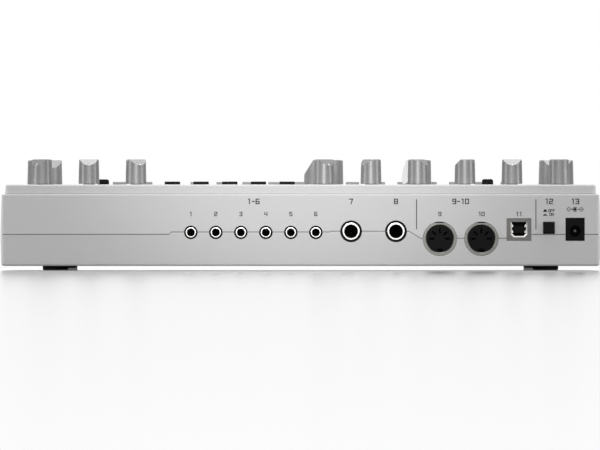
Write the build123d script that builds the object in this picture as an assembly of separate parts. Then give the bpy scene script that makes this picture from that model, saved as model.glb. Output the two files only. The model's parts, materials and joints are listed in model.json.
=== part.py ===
from build123d import *
import math
import os

os.makedirs("parts", exist_ok=True)

# Table-top drum machine. Millimetres. +X to the right, +Y to the rear panel, +Z up.
# The origin is on the surface that the machine stands on, below the middle of its box.

# ---------------------------------------------------------------- driving dimensions
# Case
case_width = 305.0            # widest, across the parting line
case_depth = 165.0
foot_height = 2.1             # the part of a foot that shows
parting_z = 18.0              # where the two shells meet on the front and the sides
shoulder_z = 38.5             # top of the main body
deck_z = 43.5                 # top of the raised deck
deck_inset = 1.6              # main body's edge to the deck's foot
wall = 2.4
draft = 1.7                   # degrees, main body
deck_draft = 3.0              # degrees, deck
corner_radius = 2.0           # upright corners of the case
inner_corner_radius = 0.6
base_edge_radius = 1.2
shoulder_edge_radius = 0.6
deck_edge_radius = 1.0
groove_height = 0.35          # shadow gap along the parting line
groove_depth = 0.8
lip_thickness = 1.0           # locating lip inside the joint of the shells
lip_height = 1.4
lip_gap = 0.15
lip_root = 3.0                # lip's start below the parting line
lip_rear_stop = 8.0           # rear wall's inside to the lip's ends

# The parting line steps up past the jacks and down past the round sockets
mini_jack_parting_z = 19.2
phone_jack_parting_z = 19.6
din_parting_z = 16.0
first_jack_step = 9.9         # first jack's axis to the step beside it
last_jack_step = 6.9          # last small jack's axis to the step beside it
phone_jack_step = 6.6         # last large jack's axis to the slope beside it
din_step = 9.8                # slope's foot to the nearest round socket's axis

# Feet
foot_diameter = 13.0
foot_recess = 0.5
foot_chamfer = 0.3
foot_side_inset = 27.3
foot_rear_inset = 17.0        # rear face to the rear feet's centres
foot_front_inset = 30.0

# Board
board_thickness = 1.6
board_side_inset = 10.0
board_front_inset = 13.5      # front face of the case to the board's front edge
board_rear_gap = 1.0          # board's rear edge to the inside of the rear wall

# Case screws and board screws
case_screw_diameter = 3.0
case_screw_length = 17.0
case_screw_head_diameter = 5.5
case_screw_head_height = 2.0
case_screw_seat_z = 9.0
case_boss_radius = 4.4
counterbore_diameter = 6.4
case_boss_side_inset = 6.1    # case side to the bosses' centres
case_boss_front_inset = 6.4
case_boss_clearance = 0.8     # bosses to the corner keys and to the DC inlet
case_boss_front_x = 52.0
board_screw_diameter = 2.5
board_screw_length = 9.5
board_screw_head_diameter = 4.6
board_screw_head_height = 1.7
board_post_radius = 2.8
board_post_side_inset = 32.5
board_post_front_inset = 5.0  # board's front edge to the front posts
front_post_side_inset = 42.5
thread_gap = 0.02
screw_hole_gap = 0.2
screw_entry = 1.0             # how far the holes run past the faces they start from
screw_head_rounding = 0.35    # part of the head's height
screw_root = 0.5              # shank's start inside the head
screw_slot_rise = 0.6         # part of the head's height
screw_slot_length = 0.52      # part of the head's diameter
screw_slot_width = 0.14

# Level knobs: nine, in a row of twelve columns along the rear of the deck
level_knob_diameter = 10.7
level_knob_top_diameter = 10.1
level_knob_chord = 2.1        # axis to the facet, measured on the knob's top
level_row_inset = 24.0        # rear face to the row
level_row_side_inset = 20.1   # case side to the outermost knobs' axes
level_knob_columns = [11, 10, 9, 5, 4, 3, 2, 1, 0]
last_column = 11
level_knob_pointers = [-33.0, 0.0, 26.0, 33.0, -61.0, 68.0, -93.0, 0.0, 150.0]

# Larger knobs, one row further forward
large_row_inset = 60.0
end_knob_diameter = 18.2
end_knob_top_diameter = 17.5
end_knob_chord = 4.7
end_knob_side_inset = 19.9
tempo_pointer = 5.0
volume_pointer = 26.0
voice_knob_diameter = 20.4
voice_knob_top_diameter = 19.9
voice_knob_chord = 5.5
voice_knob_column = 5
voice_pointer = -90.0
mode_knob_diameter = 15.3
mode_knob_top_diameter = 14.9
mode_knob_chord = 2.1
mode_knob_column = 3
mode_pointer = -60.0
knob_top_z = 56.5
knob_gap = 0.45               # deck to the knob's underside
knob_edge_radius = 0.7
facet_slope = 45.0            # degrees from level
voice_facet_slope = 58.4
mode_facet_slope = 66.0
facet_dot_diameter = 1.1
facet_dot_depth = 0.35
facet_dot_below_top = 2.5     # level drop from the knob's top to the dot

# Shafts, potentiometers and rotary selectors
shaft_diameter = 6.0
shaft_fit = 0.05              # radial, in the collar
shaft_top_wall = 3.2          # knob material over the shaft's end
shaft_end_gap = 0.2
shaft_hole_gap = 0.6          # radial, shaft to the hole in the deck
collar_diameter = 7.9
collar_top_gap = 1.3          # collar's end to the deck's underside
pot_width = 9.8
pot_length = 11.4
pot_height = 6.8
pot_floor = 1.6
selector_width = 16.0
selector_height = 8.6

# Keys
step_key_rise = 2.2           # cap's top over the deck
function_key_rise = 1.65
key_gap = 0.3
key_flange = 0.9
key_flange_height = 1.2
key_flange_gap = 0.1
key_edge_radius = 0.4
key_travel = 0.6
step_key_width = 7.0
step_key_length = 13.0
step_key_count = 16
step_row_inset = 33.0         # front face to the row
step_row_left_gap = 18.3      # run key's edge to the first step key's centre
step_row_right_gap = 31.9     # last step key's centre to the tap key's edge
function_key_width = 7.8
function_key_length = 9.6
function_key_count = 5
function_row_inset = 25.0
function_row_left_gap = 18.85   # level knob's axis to the first function key's centre
function_row_right_gap = 18.65
function_left_column = 5
function_right_column = 9
corner_key_size = 16.0
run_key_side_inset = 16.1
tap_key_side_inset = 16.5

# Key switches
switch_body = 6.0
switch_height = 3.8
plunger_diameter = 3.4
plunger_gap = 0.1
plunger_depth = 1.4

# Indicators
led_diameter = 3.0
led_gap = 0.1
led_base_diameter = 4.0
led_base_drop = 6.0           # deck's top to the spacer's top
led_row_offset = 12.0         # step key row to the indicator row
corner_led_offset = 13.0
led_recess = 0.15
led_tip_radius = 0.9

# Slide switches
slide_cap_width = 5.7
slide_cap_length = 4.0
slide_cap_rise = 3.2
slide_travel = 3.0
slide_gap = 0.3
slide_crown_radius = 1.3
slide_groove_pitch = 1.0
slide_groove_side = 0.6       # side of the square bar that cuts a groove
slide_stem = 2.0
slide_cap_seat = 0.4          # cap's underside over the deck's underside
slide_body_width = 12.0
slide_body_length = 6.0
slide_body_height = 7.0
slide_stem_depth = 3.0
pattern_switch_side_inset = 56.0
pattern_switch_inset = 44.0
level_switch_side_inset = 50.3
level_switch_inset = 60.0

# Rear sockets. The board lies over them.
board_underside_z = 26.25
socket_clearance = 0.7        # inside of the rear wall to the sockets' bodies
socket_gap = 0.1              # socket nose to the hole in the rear panel
nose_setback = 0.3            # rear face to the noses' ends
bushing_proud = 0.1           # bushing's end past the nose
mini_jack_count = 6
mini_jack_pitch = 12.7
mini_jack_z = 19.15
mini_jack_bore = 3.6
mini_jack_bushing = 5.5
mini_jack_nose = 6.7
mini_jack_width = 9.0
mini_jack_depth = 16.0
mini_jack_below = 4.3         # axis to the housing's underside
phone_jack_pitch = 22.8
phone_to_mini = 17.9          # axis to axis, nearest large and small jacks
phone_jack_z = 19.7
phone_jack_bore = 6.6
phone_jack_bushing = 9.1
phone_jack_nose = 10.9
phone_jack_width = 15.0
phone_jack_depth = 32.0
phone_jack_below = 7.2
bushing_length = 5.0
bushing_mouth_rounding = 0.33  # part of the bushing's wall
jack_back_wall = 1.2
jack_hollow_gap = 0.6         # radial, plug's way behind the bushing
din_pitch = 21.1
din_to_phone = 22.3
din_z = 15.9
din_shield_diameter = 17.3
din_insert_diameter = 13.8
din_flat = 8.07               # axis to the flat on the shield's top
din_mouth_chamfer = 0.4
din_fit = 0.05
din_body_width = 19.0
din_body_below = 9.2
din_body_depth = 12.0
din_base_depth = 5.0
din_insert_setback = 1.0
din_pin_circle = 8.0
din_slot_length = 2.7
din_slot_width = 0.9
din_slot_depth = 6.0
din_key_width = 3.0
din_key_depth = 1.9
usb_to_din = 19.1
usb_width = 12.4
usb_height = 11.3
usb_depth = 16.0
usb_mouth_width = 8.4
usb_mouth_height = 7.8
usb_mouth_chamfer = 1.5
usb_mouth_depth = 9.0
usb_tongue_width = 5.6
usb_tongue_height = 3.2
usb_tongue_setback = 1.0
power_to_usb = 15.2
power_z = 21.5
power_cap_width = 5.3
power_cap_height = 5.5
power_cap_proud = 1.6
power_cap_length = 9.0
power_gap = 0.3
power_travel = 2.2
power_plunger = 3.0
power_plunger_depth = 5.0
power_body_gap = 0.6          # pressed cap to the switch's body
power_well_gap = 0.4          # pressed plunger to the bottom of its well
power_body_width = 8.4
power_body_below = 4.6
power_body_depth = 10.0
dc_side_inset = 13.0
dc_to_power = 13.3
dc_face_width = 9.6
dc_face_height = 11.6
dc_face_top_z = 26.5
dc_hole_z = 19.8
dc_hole_diameter = 5.7
dc_hole_depth = 9.5
dc_pin_diameter = 2.0
dc_pin_setback = 1.2
dc_pin_tip_radius = 0.6
dc_body_depth = 13.5

# Chips and capacitors on the board's underside
chip_width = 10.0
chip_length = 6.2
chip_height = 1.6
chip_side_inset = 47.5        # case side to the outermost chips
chip_front_inset = 20.0       # board's front edge to the first row
chip_pitch_y = 22.0
chip_rows = 3
chip_columns = 8
capacitor_diameter = 6.3
capacitor_height = 7.7
capacitor_row_gap = 18.0      # last row of chips to the capacitors
capacitor_columns = 10

# Bare label recess on the underside
label_width = 70.0
label_length = 36.0
label_depth = 0.3

cut_margin = 1.0              # how far cuts run past the faces that they open

# ---------------------------------------------------------------- worked-out places
case_y = -power_cap_proud / 2
rear_y = case_depth / 2 + case_y
front_y = -case_depth / 2 + case_y
base_z = foot_height
floor_z = base_z + wall
deck_underside_z = deck_z - wall
board_top_z = board_underside_z + board_thickness
board_rear_y = rear_y - wall - board_rear_gap
board_front_y = front_y + board_front_inset
socket_front_y = rear_y - wall - socket_clearance
nose_end_y = rear_y - nose_setback
bushing_end_y = nose_end_y + bushing_proud
level_row_y = rear_y - level_row_inset
large_row_y = rear_y - large_row_inset
step_row_y = front_y + step_row_inset
function_row_y = rear_y - function_row_inset
led_row_y = step_row_y + led_row_offset
key_flange_top_z = deck_underside_z - key_flange_gap
shaft_top_z = knob_top_z - shaft_top_wall
collar_top_z = deck_underside_z - collar_top_gap
usb_z = board_underside_z - usb_height / 2
side_x = case_width / 2


def spread(first, last, count):
    """Even places from the first to the last."""
    return [first + (last - first) * i / (count - 1) for i in range(count)]


column_xs = spread(level_row_side_inset - side_x, side_x - level_row_side_inset, last_column + 1)
level_knob_xs = [column_xs[column] for column in level_knob_columns]
end_knob_x = side_x - end_knob_side_inset
voice_knob_x = column_xs[voice_knob_column]
mode_knob_x = column_xs[mode_knob_column]
run_key_x = run_key_side_inset - side_x
tap_key_x = side_x - tap_key_side_inset
step_key_xs = spread(run_key_x + corner_key_size / 2 + step_row_left_gap,
                     tap_key_x - corner_key_size / 2 - step_row_right_gap, step_key_count)
function_key_xs = spread(column_xs[function_left_column] + function_row_left_gap,
                         column_xs[function_right_column] - function_row_right_gap,
                         function_key_count)
pattern_switch_x = pattern_switch_side_inset - side_x
level_switch_x = side_x - level_switch_side_inset
dc_x = dc_side_inset - side_x
power_x = dc_x + dc_to_power
usb_x = power_x + power_to_usb
din_xs = [usb_x + usb_to_din + din_pitch, usb_x + usb_to_din]
phone_jack_xs = [din_xs[0] + din_to_phone + phone_jack_pitch, din_xs[0] + din_to_phone]
mini_jack_last_x = phone_jack_xs[0] + phone_to_mini
mini_jack_xs = [mini_jack_last_x + i * mini_jack_pitch for i in range(mini_jack_count)]
mini_jack_xs.reverse()
case_boss_x = side_x - case_boss_side_inset
case_boss_reach = case_boss_radius + case_boss_clearance
case_boss_low_y = step_row_y - corner_key_size / 2 - key_flange - case_boss_reach
case_boss_high_y = socket_front_y - dc_body_depth - case_boss_reach
case_boss_places = [
    (side * case_boss_x, y)
    for side in (-1, 1)
    for y in (case_boss_low_y, (case_boss_low_y + case_boss_high_y) / 2, case_boss_high_y)
] + [(side * case_boss_front_x, front_y + case_boss_front_inset) for side in (-1, 1)]
post_x = side_x - board_post_side_inset
front_post_x = side_x - front_post_side_inset
post_rear_y = (level_row_y + large_row_y) / 2
post_middle_y = (large_row_y + step_row_y) / 2
post_front_y = board_front_y + board_post_front_inset
board_post_places = [(x, post_rear_y) for x in (-post_x, column_xs[4], column_xs[7], post_x)]
board_post_places += [(x, post_middle_y) for x in (-post_x, 0.0, post_x)]
board_post_places += [(x, post_front_y) for x in (-front_post_x, 0.0, front_post_x)]
foot_places = [
    (side * (side_x - foot_side_inset), y)
    for side in (-1, 1)
    for y in (rear_y - foot_rear_inset, front_y + foot_front_inset)
]
chip_xs = spread(chip_side_inset - side_x, side_x - chip_side_inset, chip_columns)
chip_ys = [board_front_y + chip_front_inset + i * chip_pitch_y for i in range(chip_rows)]
capacitor_xs = spread(chip_side_inset - side_x, side_x - chip_side_inset, capacitor_columns)
capacitor_y = chip_ys[-1] + capacitor_row_gap
led_places = [(x, led_row_y) for x in step_key_xs] + [
    (run_key_x, step_row_y + corner_led_offset), (tap_key_x, step_row_y + corner_led_offset),
]


# ---------------------------------------------------------------- small helpers
def save(name, solids):
    """Write one node. A list becomes a group of separate solids."""
    shape = Compound([s.solid() for s in solids]) if isinstance(solids, list) else solids
    export_step(shape, f"parts/{name}.step")


def block(x0, x1, y0, y1, z0, z1):
    """A box between two corners."""
    place = Pos((x0 + x1) / 2, (y0 + y1) / 2, (z0 + z1) / 2)
    return place * Box(abs(x1 - x0), abs(y1 - y0), abs(z1 - z0))


def post(x, y, z0, z1, diameter):
    """An upright cylinder between two heights."""
    return Pos(x, y, (z0 + z1) / 2) * Cylinder(diameter / 2, z1 - z0)


def rod(x, z, y0, y1, diameter):
    """A cylinder along Y between two depths."""
    return Pos(x, (y0 + y1) / 2, z) * Rot(90, 0, 0) * Cylinder(diameter / 2, y1 - y0)


def key_places():
    """Every key as name, x, y, width, length and rise."""
    step_size = (step_key_width, step_key_length, step_key_rise)
    function_size = (function_key_width, function_key_length, function_key_rise)
    corner_size = (corner_key_size, corner_key_size, step_key_rise)
    keys = []
    for i, x in enumerate(step_key_xs):
        keys.append((f"step_key_{i + 1:02d}", x, step_row_y, *step_size))
    for i, x in enumerate(function_key_xs):
        keys.append((f"function_key_{i + 1}", x, function_row_y, *function_size))
    keys.append(("run_key", run_key_x, step_row_y, *corner_size))
    keys.append(("tap_key", tap_key_x, step_row_y, *corner_size))
    return keys


def pot_places():
    """Axes of the level, tempo and volume controls."""
    level = [(x, level_row_y) for x in level_knob_xs]
    return level + [(-end_knob_x, large_row_y), (end_knob_x, large_row_y)]


def selector_places():
    """Axes of the two rotary selectors."""
    return [(mode_knob_x, large_row_y), (voice_knob_x, large_row_y)]


def slide_places():
    """Rest places of the two slide-switch caps, and the way that each one travels."""
    pattern = ("pattern_switch_cap", pattern_switch_x, rear_y - pattern_switch_inset, 1)
    level = ("level_switch_cap", level_switch_x, rear_y - level_switch_inset, -1)
    return [pattern, level]


# ---------------------------------------------------------------- case
def case_form(inset):
    """The closed form of the whole case, with every face moved inwards by inset."""
    radius = corner_radius if inset == 0 else inner_corner_radius
    outline = RectangleRounded(case_width - 2 * inset, case_depth - 2 * inset, radius)
    down = Plane(origin=(0, case_y, parting_z), x_dir=(1, 0, 0), z_dir=(0, 0, -1))
    up = Plane(origin=(0, case_y, parting_z), x_dir=(1, 0, 0), z_dir=(0, 0, 1))
    body = extrude(down * outline, amount=parting_z - base_z - inset, taper=draft)
    body += extrude(up * outline, amount=shoulder_z - inset - parting_z, taper=draft)
    shoulder_step = (shoulder_z - parting_z) * math.tan(math.radians(draft)) + deck_inset
    deck_outline = RectangleRounded(
        case_width - 2 * (shoulder_step + inset), case_depth - 2 * (shoulder_step + inset), radius
    )
    deck_foot = Plane(origin=(0, case_y, shoulder_z - inset))
    body += extrude(deck_foot * deck_outline, amount=deck_z - shoulder_z, taper=deck_draft)
    return body


def rounded_case_form():
    """The case's outer form with its edges rounded."""
    form = case_form(0)
    levels = form.edges().filter_by(Plane.XY).group_by(Axis.Z)
    form = fillet(levels[0], base_edge_radius)
    tops = form.edges().filter_by(Plane.XY).group_by(Axis.Z)
    form = fillet(tops[-1], deck_edge_radius)
    at_shoulder = form.edges().filter_by(Plane.XY).filter_by(
        lambda e: abs(e.center().Z - shoulder_z) < 0.01
    )
    rim_reach = case_depth / 2 - deck_inset
    rim = at_shoulder.filter_by(
        lambda e: e.bounding_box().max.X > case_width / 2 - deck_inset
        or e.bounding_box().min.X < deck_inset - case_width / 2
        or abs(e.center().Y - case_y) > rim_reach
    )
    return fillet(rim, shoulder_edge_radius)


def below_parting():
    """All the space that belongs to the bottom shell."""
    margin = 10 * cut_margin
    half = side_x + margin
    split_y = rear_y - wall - lip_thickness
    space = block(-half, half, front_y - margin, split_y, -margin, parting_z)
    rise = mini_jack_parting_z - parting_z
    settle = phone_jack_parting_z - mini_jack_parting_z
    jack_start = mini_jack_xs[0] + first_jack_step
    jack_end = mini_jack_xs[-1] - last_jack_step
    path = [(half, -margin), (half, parting_z)]
    path += [(jack_start + rise, parting_z), (jack_start, mini_jack_parting_z)]
    path += [(jack_end, mini_jack_parting_z), (jack_end - settle, phone_jack_parting_z)]
    path += [(phone_jack_xs[-1] - phone_jack_step, phone_jack_parting_z)]
    path += [(din_xs[0] + din_step, din_parting_z), (usb_x, din_parting_z), (usb_x, parting_z)]
    path += [(-half, parting_z), (-half, -margin)]
    corners = [Vector(x, split_y, z) for x, z in path]
    profile = make_face(Polyline(*corners, close=True))
    wall_space = extrude(profile, amount=wall + lip_thickness + margin, dir=(0, 1, 0))
    return space + wall_space


def rear_openings():
    """Holes in the rear panel for every socket and for the power button."""
    y0 = rear_y - wall - 2 * cut_margin
    y1 = rear_y + cut_margin
    cuts = []
    for x in mini_jack_xs:
        cuts.append(rod(x, mini_jack_z, y0, y1, mini_jack_nose + 2 * socket_gap))
    for x in phone_jack_xs:
        cuts.append(rod(x, phone_jack_z, y0, y1, phone_jack_nose + 2 * socket_gap))
    for x in din_xs:
        cuts.append(rod(x, din_z, y0, y1, din_shield_diameter + 2 * socket_gap))
    usb_half = usb_width / 2 + socket_gap
    usb_low = usb_z - usb_height / 2 - socket_gap
    usb_high = usb_z + usb_height / 2 + socket_gap
    cuts.append(block(usb_x - usb_half, usb_x + usb_half, y0, y1, usb_low, usb_high))
    power_half = power_cap_width / 2 + power_gap
    power_rise = power_cap_height / 2 + power_gap
    cuts.append(
        block(power_x - power_half, power_x + power_half, y0, y1, power_z - power_rise,
              power_z + power_rise)
    )
    dc_half = dc_face_width / 2 + socket_gap
    dc_low = dc_face_top_z - dc_face_height - socket_gap
    dc_high = dc_face_top_z + socket_gap
    cuts.append(block(dc_x - dc_half, dc_x + dc_half, y0, y1, dc_low, dc_high))
    return cuts


def deck_openings():
    """Holes in the deck for shafts, keys, slide-switch caps and indicators."""
    z0 = deck_underside_z - cut_margin
    z1 = deck_z + cut_margin
    cuts = []
    for x, y in pot_places() + selector_places():
        cuts.append(post(x, y, z0, z1, shaft_diameter + 2 * shaft_hole_gap))
    for _, x, y, width, length, _ in key_places():
        half_x = width / 2 + key_gap
        half_y = length / 2 + key_gap
        cuts.append(block(x - half_x, x + half_x, y - half_y, y + half_y, z0, z1))
    for _, x, y, way in slide_places():
        ends = sorted((x - way * (slide_cap_width / 2 + slide_gap),
                       x + way * (slide_cap_width / 2 + slide_travel + slide_gap)))
        half_y = slide_cap_length / 2 + slide_gap
        cuts.append(block(ends[0], ends[1], y - half_y, y + half_y, z0, z1))
    for x, y in led_places:
        cuts.append(post(x, y, z0, z1, led_diameter + 2 * led_gap))
    return cuts


def make_case():
    """The two shells, with their bosses, posts, lip and openings."""
    outer = rounded_case_form()
    below = below_parting()
    inner = case_form(wall)
    shell = outer - inner
    lower = shell & below
    upper = shell - below

    shadow = (Pos(0, 0, groove_height) * below) - below
    upper -= shadow - case_form(groove_depth)

    boss_top = deck_underside_z
    for x, y in case_boss_places:
        column = post(x, y, base_z, boss_top, 2 * case_boss_radius) & outer
        lower += column & below
        upper += column - below
    for x, y in board_post_places:
        upper += post(x, y, board_top_z, boss_top, 2 * board_post_radius)

    hold = case_form(wall + lip_gap) - case_form(wall + lip_gap + lip_thickness)
    root = case_form(wall - lip_gap) - case_form(wall + lip_gap + lip_thickness)
    reach = case_width
    stop_y = rear_y - wall - lip_rear_stop
    root_z = parting_z - lip_root
    hold &= block(-reach, reach, -reach, stop_y, root_z, parting_z + lip_height)
    root &= block(-reach, reach, -reach, stop_y, root_z, parting_z)
    lip = hold + root
    for x, y in case_boss_places:
        lip -= post(x, y, 0, deck_z, 2 * (case_boss_radius + lip_gap)) - below
    lower += lip

    for x, y in case_boss_places:
        shank = case_screw_diameter + 2 * screw_hole_gap
        lower -= post(x, y, 0, parting_z + screw_entry, shank)
        lower -= post(x, y, 0, case_screw_seat_z, counterbore_diameter)
        screw_end = case_screw_seat_z + case_screw_length
        thread = case_screw_diameter + 2 * thread_gap
        upper -= post(x, y, parting_z - screw_entry, screw_end, thread)
    for x, y in board_post_places:
        screw_end = board_underside_z + board_screw_length
        pilot = board_screw_diameter + 2 * thread_gap
        upper -= post(x, y, board_top_z - screw_entry, screw_end, pilot)
    for cut in rear_openings():
        lower -= cut
        upper -= cut
    for cut in deck_openings():
        upper -= cut
    for x, y in foot_places:
        lower -= post(x, y, 0, base_z + foot_recess, foot_diameter)
    label = block(-label_width / 2, label_width / 2, case_y - label_length / 2,
                  case_y + label_length / 2, 0, base_z + label_depth)
    lower -= label
    return upper, lower


# ---------------------------------------------------------------- fixed pieces
def make_feet():
    feet = []
    for x, y in foot_places:
        foot = post(x, y, 0, base_z + foot_recess, foot_diameter)
        rim = foot.edges().group_by(Axis.Z)[0]
        feet.append(chamfer(rim, foot_chamfer))
    return feet


def make_screw(x, y, seat_z, diameter, length, head_diameter, head_height):
    """A pan-head screw, driven upwards, with a cross recess in its head."""
    screw = post(x, y, seat_z - head_height, seat_z, head_diameter)
    low = seat_z - head_height
    screw = fillet(screw.edges().group_by(Axis.Z)[0], head_height * screw_head_rounding)
    screw += post(x, y, seat_z - screw_root, seat_z + length, diameter)
    slot = Box(head_diameter * screw_slot_length, head_diameter * screw_slot_width,
               2 * head_height * screw_slot_rise)
    for turn in (0, 90):
        screw -= Pos(x, y, low) * Rot(0, 0, turn) * slot
    return screw


def make_case_screws():
    return [
        make_screw(x, y, case_screw_seat_z, case_screw_diameter, case_screw_length,
                   case_screw_head_diameter, case_screw_head_height)
        for x, y in case_boss_places
    ]


def make_board_screws():
    return [
        make_screw(x, y, board_underside_z, board_screw_diameter, board_screw_length,
                   board_screw_head_diameter, board_screw_head_height)
        for x, y in board_post_places
    ]


def make_board():
    half = side_x - board_side_inset
    board = block(-half, half, board_front_y, board_rear_y, board_underside_z, board_top_z)
    for x, y in board_post_places:
        board -= post(x, y, 0, deck_z, board_screw_diameter + 2 * screw_hole_gap)
    for x, y in case_boss_places:
        board -= post(x, y, 0, deck_z, 2 * (case_boss_radius + screw_hole_gap))
    return board


def make_board_components():
    """Chips in rows and a row of capacitors, hanging from the board."""
    pieces = [
        block(x - chip_width / 2, x + chip_width / 2, y - chip_length / 2, y + chip_length / 2,
              board_underside_z - chip_height, board_underside_z)
        for y in chip_ys
        for x in chip_xs
    ]
    bottom = board_underside_z - capacitor_height
    for x in capacitor_xs:
        pieces.append(post(x, capacitor_y, bottom, board_underside_z, capacitor_diameter))
    return pieces


def make_jack_housing(x, z, width, below, depth, nose, bushing, bore):
    """A jack's plastic body, hanging from the board, with its nose through the rear panel."""
    back_y = socket_front_y - depth
    housing = block(x - width / 2, x + width / 2, back_y, socket_front_y, z - below,
                    board_underside_z)
    housing += rod(x, z, socket_front_y, nose_end_y, nose)
    housing -= rod(x, z, bushing_end_y - bushing_length, nose_end_y, bushing)
    return housing - rod(x, z, back_y + jack_back_wall, nose_end_y, bore + 2 * jack_hollow_gap)


def make_jack_bushing(x, z, bushing, bore):
    """The metal tube that a plug goes through, with a rounded mouth."""
    start_y = bushing_end_y - bushing_length
    tube = rod(x, z, start_y, bushing_end_y, bushing)
    rounding = (bushing - bore) / 2 * bushing_mouth_rounding
    tube = fillet(tube.edges().group_by(Axis.Y)[-1], rounding)
    return tube - rod(x, z, start_y, bushing_end_y, bore)


def make_jack_housings():
    mini = [
        make_jack_housing(x, mini_jack_z, mini_jack_width, mini_jack_below, mini_jack_depth,
                          mini_jack_nose, mini_jack_bushing, mini_jack_bore)
        for x in mini_jack_xs
    ]
    phone = [
        make_jack_housing(x, phone_jack_z, phone_jack_width, phone_jack_below, phone_jack_depth,
                          phone_jack_nose, phone_jack_bushing, phone_jack_bore)
        for x in phone_jack_xs
    ]
    return mini + phone


def make_jack_bushings():
    mini = [make_jack_bushing(x, mini_jack_z, mini_jack_bushing, mini_jack_bore)
            for x in mini_jack_xs]
    phone = [make_jack_bushing(x, phone_jack_z, phone_jack_bushing, phone_jack_bore)
             for x in phone_jack_xs]
    return mini + phone


def make_din_shield(x):
    """The metal sleeve round a socket, with its flat on top."""
    start_y = socket_front_y - din_body_depth + din_base_depth
    shield = rod(x, din_z, start_y, nose_end_y, din_shield_diameter)
    radius = din_shield_diameter / 2
    shield -= block(x - radius, x + radius, start_y, nose_end_y, din_z + din_flat, din_z + radius)
    shield -= rod(x, din_z, start_y, nose_end_y, din_insert_diameter + 2 * din_fit)
    front = shield.edges().filter_by(GeomType.CIRCLE).group_by(Axis.Y)[-1]
    return chamfer(front.sort_by(SortBy.RADIUS)[0], din_mouth_chamfer)


def make_din_insert(x):
    """The socket's plastic block and its round insert, with five slots and a key notch."""
    base_front_y = socket_front_y - din_body_depth + din_base_depth
    face_y = nose_end_y - din_insert_setback
    insert = block(x - din_body_width / 2, x + din_body_width / 2, base_front_y - din_base_depth,
                   base_front_y, din_z - din_body_below, board_underside_z)
    insert += rod(x, din_z, base_front_y, face_y, din_insert_diameter)
    slot = Box(din_slot_length, din_slot_depth, din_slot_width)
    for angle in (0, 45, 90, 135, 180):
        turn = Pos(x, face_y, din_z) * Rot(0, -angle, 0)
        insert -= turn * Pos(din_pin_circle / 2, -din_slot_depth / 2, 0) * slot
    notch_low = din_z - din_insert_diameter / 2
    insert -= block(x - din_key_width / 2, x + din_key_width / 2, face_y - din_slot_depth, face_y,
                    notch_low, notch_low + din_key_depth)
    return insert


def make_usb_shell():
    shell = block(usb_x - usb_width / 2, usb_x + usb_width / 2, socket_front_y - usb_depth,
                  nose_end_y, usb_z - usb_height / 2, board_underside_z)
    half = usb_mouth_width / 2
    rise = usb_mouth_height / 2
    cut = usb_mouth_chamfer
    corners = [(-half, rise), (half, rise), (half, cut - rise), (half - cut, -rise),
               (cut - half, -rise), (-half, cut - rise)]
    points = [Vector(usb_x + x, nose_end_y, usb_z + z) for x, z in corners]
    mouth = make_face(Polyline(*points, close=True))
    return shell - extrude(mouth, amount=usb_mouth_depth, dir=(0, -1, 0))


def make_usb_tongue():
    half = usb_tongue_width / 2
    rise = usb_tongue_height / 2
    return block(usb_x - half, usb_x + half, nose_end_y - usb_mouth_depth,
                 nose_end_y - usb_tongue_setback, usb_z - rise, usb_z + rise)


def make_power_switch():
    cap_end_y = rear_y + power_cap_proud - power_cap_length
    face_y = cap_end_y - power_travel - power_body_gap
    body = block(power_x - power_body_width / 2, power_x + power_body_width / 2,
                 face_y - power_body_depth, face_y, power_z - power_body_below,
                 board_underside_z)
    half = power_plunger / 2 + plunger_gap
    well = power_plunger_depth - power_body_gap + power_well_gap
    return body - block(power_x - half, power_x + half, face_y - well, face_y,
                        power_z - half, power_z + half)


def make_dc_housing():
    body = block(dc_x - dc_face_width / 2, dc_x + dc_face_width / 2, socket_front_y - dc_body_depth,
                 socket_front_y, dc_face_top_z - dc_face_height, board_underside_z)
    body += block(dc_x - dc_face_width / 2, dc_x + dc_face_width / 2, socket_front_y,
                  nose_end_y, dc_face_top_z - dc_face_height, dc_face_top_z)
    return body - rod(dc_x, dc_hole_z, nose_end_y - dc_hole_depth, nose_end_y, dc_hole_diameter)


def make_dc_pin():
    end_y = nose_end_y - dc_pin_setback
    pin = rod(dc_x, dc_hole_z, nose_end_y - dc_hole_depth, end_y, dc_pin_diameter)
    return fillet(pin.edges().group_by(Axis.Y)[-1], dc_pin_tip_radius)


def make_rotary(x, y, width, length, height):
    """A board-mounted rotary control with a collar that carries the shaft."""
    control = block(x - width / 2, x + width / 2, y - length / 2, y + length / 2, board_top_z,
                    board_top_z + height)
    control += post(x, y, board_top_z + height, collar_top_z, collar_diameter)
    bore = shaft_diameter + 2 * shaft_fit
    return control - post(x, y, board_top_z + pot_floor, collar_top_z, bore)


def make_potentiometers():
    return [make_rotary(x, y, pot_width, pot_length, pot_height) for x, y in pot_places()]


def make_rotary_selectors():
    return [make_rotary(x, y, selector_width, selector_width, selector_height)
            for x, y in selector_places()]


def make_key_switches():
    switches = []
    for _, x, y, _, _, _ in key_places():
        half = switch_body / 2
        top = board_top_z + switch_height
        body = block(x - half, x + half, y - half, y + half, board_top_z, top)
        well = plunger_depth + key_travel + plunger_gap
        switches.append(body - post(x, y, top - well, top, plunger_diameter + 2 * plunger_gap))
    return switches


def make_slide_bodies():
    bodies = []
    for _, x, y, way in slide_places():
        middle = x + way * slide_travel / 2
        top = board_top_z + slide_body_height
        body = block(middle - slide_body_width / 2, middle + slide_body_width / 2,
                     y - slide_body_length / 2, y + slide_body_length / 2, board_top_z, top)
        reach = (slide_travel + slide_stem) / 2 + slide_gap
        half_y = slide_stem / 2 + plunger_gap
        slot_floor = top - slide_stem_depth - plunger_gap
        bodies.append(body - block(middle - reach, middle + reach, y - half_y, y + half_y,
                                   slot_floor, top))
    return bodies


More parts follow.
